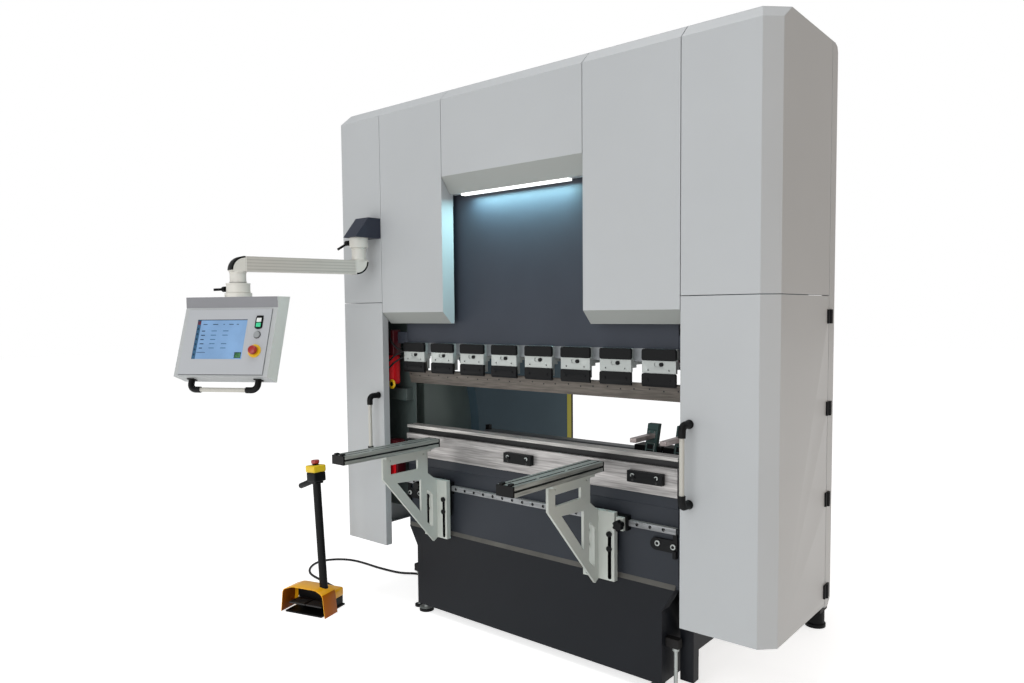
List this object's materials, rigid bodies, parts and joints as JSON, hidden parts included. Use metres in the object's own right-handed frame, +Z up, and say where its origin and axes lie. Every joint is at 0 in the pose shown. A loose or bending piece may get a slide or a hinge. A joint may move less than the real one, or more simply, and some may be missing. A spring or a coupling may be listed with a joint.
{
  "type": "cnc press brake",
  "caption": "Servo-electric press brake with covered C-frame, moving ram and clamps, die on a bed, support arms, back gauge, swinging control box and foot switch.",
  "frame": {"origin": "on the floor, under the middle of the bending line", "axes": "+X to the operator's right along the bending line, +Y from the operator to the back of the machine, +Z up"},
  "size_m": [2.9673, 2.4891, 2.5938],
  "materials": {
    "cover_paint": "semi-gloss light grey",
    "machine_paint": "satin dark blue grey",
    "bed_paint": "satin charcoal",
    "support_paint": "textured off-white",
    "pendant_paint": "satin cream",
    "guard_paint": "gloss orange yellow",
    "yellow_paint": "satin yellow",
    "red_paint": "gloss red",
    "ground_steel": "ground steel",
    "bright_steel": "bright ground steel",
    "black_steel": "black oxide",
    "green_plastic": "dark green",
    "black_plastic": "matt black",
    "red_plastic": "gloss red",
    "light_plastic": "gloss white",
    "screen_glass": "lit display",
    "lamp": "diffuser",
    "black_rubber": "cable sheath",
    "profile_alu": "anodised"
  },
  "bodies": {
    "base": {"side_plates": "machine_paint", "frame_ties": "machine_paint", "bed_plate": "machine_paint", "bed_box": "bed_paint", "bench": "ground_steel", "bottom_die": "ground_steel", "clamp_blocks": "black_steel", "arm_rail": "bright_steel", "levelling_feet": "black_steel", "front_covers": "cover_paint", "outer_covers": "cover_paint", "rear_posts": "cover_paint", "roof_cover": "cover_paint", "hinge_leaves": "black_steel", "work_light": "lamp", "servo_motors": "black_steel", "linear_rails": "bright_steel", "pendant_bracket": "machine_paint", "light_curtains": "yellow_paint", "electric_units": "ground_steel", "foot_base": "black_plastic", "foot_guard": "guard_paint", "stop_column": "black_plastic", "foot_cable": "black_rubber"},
    "ram": {"ram": "machine_paint", "clamp_bodies": "bright_steel", "clamp_plates": "black_steel", "top_punch": "bright_steel", "nuts_and_runners": "bright_steel", "laser_arms": "red_paint"},
    "screw_l": {"screw_left": "bright_steel"},
    "screw_r": {"screw_right": "bright_steel"},
    "door_l": {"door_left": "cover_paint", "handle_left": "black_plastic"},
    "door_r": {"door_right": "cover_paint", "handle_right": "black_plastic"},
    "arm": {"pendant_arm": "pendant_paint"},
    "box": {"control_box": "support_paint", "screen": "screen_glass", "box_handle": "pendant_paint"},
    "start": {"start_button": "green_plastic"},
    "stop": {"stop_button": "light_plastic"},
    "reset": {"reset_button": "light_plastic"},
    "estop": {"estop_button": "red_plastic"},
    "lever_u": {"upper_lever": "black_plastic"},
    "lever_l": {"lower_lever": "black_plastic"},
    "post_stop": {"column_stop": "red_plastic"},
    "pedal_l": {"pedal_left": "black_plastic"},
    "pedal_r": {"pedal_right": "black_plastic"},
    "support_l": {"carriage_left": "black_steel"},
    "support_r": {"carriage_right": "black_steel"},
    "height_l": {"bracket_left": "support_paint", "profile_left": "profile_alu"},
    "height_r": {"bracket_right": "support_paint", "profile_right": "profile_alu"},
    "knob_l": {"knob_left": "black_plastic"},
    "knob_r": {"knob_right": "black_plastic"},
    "gauge": {"gauge_beam": "ground_steel"},
    "finger_l": {"finger_left": "green_plastic"},
    "finger_r": {"finger_right": "green_plastic"}
  },
  "joints": [
    {"name": "ram_travel", "type": "slide", "parent": "base", "child": "ram", "axis": [0, 0, 1], "range_m": [-0.21, 0]},
    {"name": "screw_left_turn", "type": "hinge", "parent": "base", "child": "screw_l", "pos_m": [-0.6, 0, 1.9], "axis": [0, 0, 1], "range_deg": [-10, 7600]},
    {"name": "screw_right_turn", "type": "hinge", "parent": "base", "child": "screw_r", "pos_m": [0.6, 0, 1.9], "axis": [0, 0, 1], "range_deg": [-10, 7600]},
    {"name": "door_left_swing", "type": "hinge", "parent": "base", "child": "door_l", "pos_m": [-1.202, 0.433, 0.97], "axis": [0, 0, 1], "range_deg": [-110, 0]},
    {"name": "door_right_swing", "type": "hinge", "parent": "base", "child": "door_r", "pos_m": [1.202, 0.433, 0.97], "axis": [0, 0, 1], "range_deg": [0, 110]},
    {"name": "pendant_swing", "type": "hinge", "parent": "base", "child": "arm", "pos_m": [-0.897, -0.23, 1.85], "axis": [0, 0, 1], "range_deg": [-60, 70]},
    {"name": "box_swivel", "type": "hinge", "parent": "arm", "child": "box", "pos_m": [-1.03721, -0.81853, 1.66], "axis": [0, 0, 1], "range_deg": [-60, 60]},
    {"name": "start_press", "type": "slide", "parent": "box", "child": "start", "axis": [-0.4406, 0.8286, -0.3453], "range_m": [0, 0.004], "stiffness_N_per_m": 600, "springref_m": -0.002},
    {"name": "stop_press", "type": "slide", "parent": "box", "child": "stop", "axis": [-0.4406, 0.8286, -0.3453], "range_m": [0, 0.004], "stiffness_N_per_m": 600, "springref_m": -0.002},
    {"name": "reset_press", "type": "slide", "parent": "box", "child": "reset", "axis": [-0.4406, 0.8286, -0.3453], "range_m": [0, 0.004], "stiffness_N_per_m": 600, "springref_m": -0.002},
    {"name": "estop_press", "type": "slide", "parent": "box", "child": "estop", "axis": [-0.4406, 0.8286, -0.3453], "range_m": [0, 0.006]},
    {"name": "upper_lever_turn", "type": "hinge", "parent": "base", "child": "lever_u", "pos_m": [-0.984, -0.23, 1.906], "axis": [1, 0, 0], "range_deg": [-60, 60]},
    {"name": "lower_lever_turn", "type": "hinge", "parent": "arm", "child": "lever_l", "pos_m": [-1.15301, -0.81853, 1.666], "axis": [1, 0, 0], "range_deg": [-60, 8]},
    {"name": "column_stop_press", "type": "slide", "parent": "base", "child": "post_stop", "axis": [0.0732, 0, -0.9973], "range_m": [0, 0.006]},
    {"name": "pedal_left_press", "type": "hinge", "parent": "base", "child": "pedal_l", "pos_m": [-1.15923, -0.34736, 0.04], "axis": [0.9617, 0.274, 0], "range_deg": [0, 8], "stiffness_Nm_per_rad": 6, "springref_deg": -11.46},
    {"name": "pedal_right_press", "type": "hinge", "parent": "base", "child": "pedal_r", "pos_m": [-1.15923, -0.34736, 0.04], "axis": [0.9617, 0.274, 0], "range_deg": [0, 8], "stiffness_Nm_per_rad": 6, "springref_deg": -11.46},
    {"name": "support_left_shift", "type": "slide", "parent": "base", "child": "support_l", "axis": [1, 0, 0], "range_m": [-0.1, 0.35]},
    {"name": "support_right_shift", "type": "slide", "parent": "base", "child": "support_r", "axis": [1, 0, 0], "range_m": [-0.35, 0.18]},
    {"name": "support_left_height", "type": "slide", "parent": "support_l", "child": "height_l", "axis": [0, 0, 1], "range_m": [0, 0.11]},
    {"name": "support_right_height", "type": "slide", "parent": "support_r", "child": "height_r", "axis": [0, 0, 1], "range_m": [0, 0.11]},
    {"name": "knob_left_turn", "type": "hinge", "parent": "support_l", "child": "knob_l", "pos_m": [-0.635, -0.09, 0.678], "axis": [0, 1, 0], "range_deg": [-180, 180]},
    {"name": "knob_right_turn", "type": "hinge", "parent": "support_r", "child": "knob_r", "pos_m": [0.546, -0.09, 0.678], "axis": [0, 1, 0], "range_deg": [-180, 180]},
    {"name": "gauge_depth", "type": "slide", "parent": "base", "child": "gauge", "axis": [0, 1, 0], "range_m": [-0.1, 0.2]},
    {"name": "finger_left_shift", "type": "slide", "parent": "gauge", "child": "finger_l", "axis": [1, 0, 0], "range_m": [-0.88, 0]},
    {"name": "finger_right_shift", "type": "slide", "parent": "gauge", "child": "finger_r", "axis": [1, 0, 0], "range_m": [0, 0.07]}
  ],
  "couplings": [
    {"joint": "screw_left_turn", "follows": "ram_travel", "rad_per_m": -628.32},
    {"joint": "screw_right_turn", "follows": "ram_travel", "rad_per_m": -628.32}
  ]
}
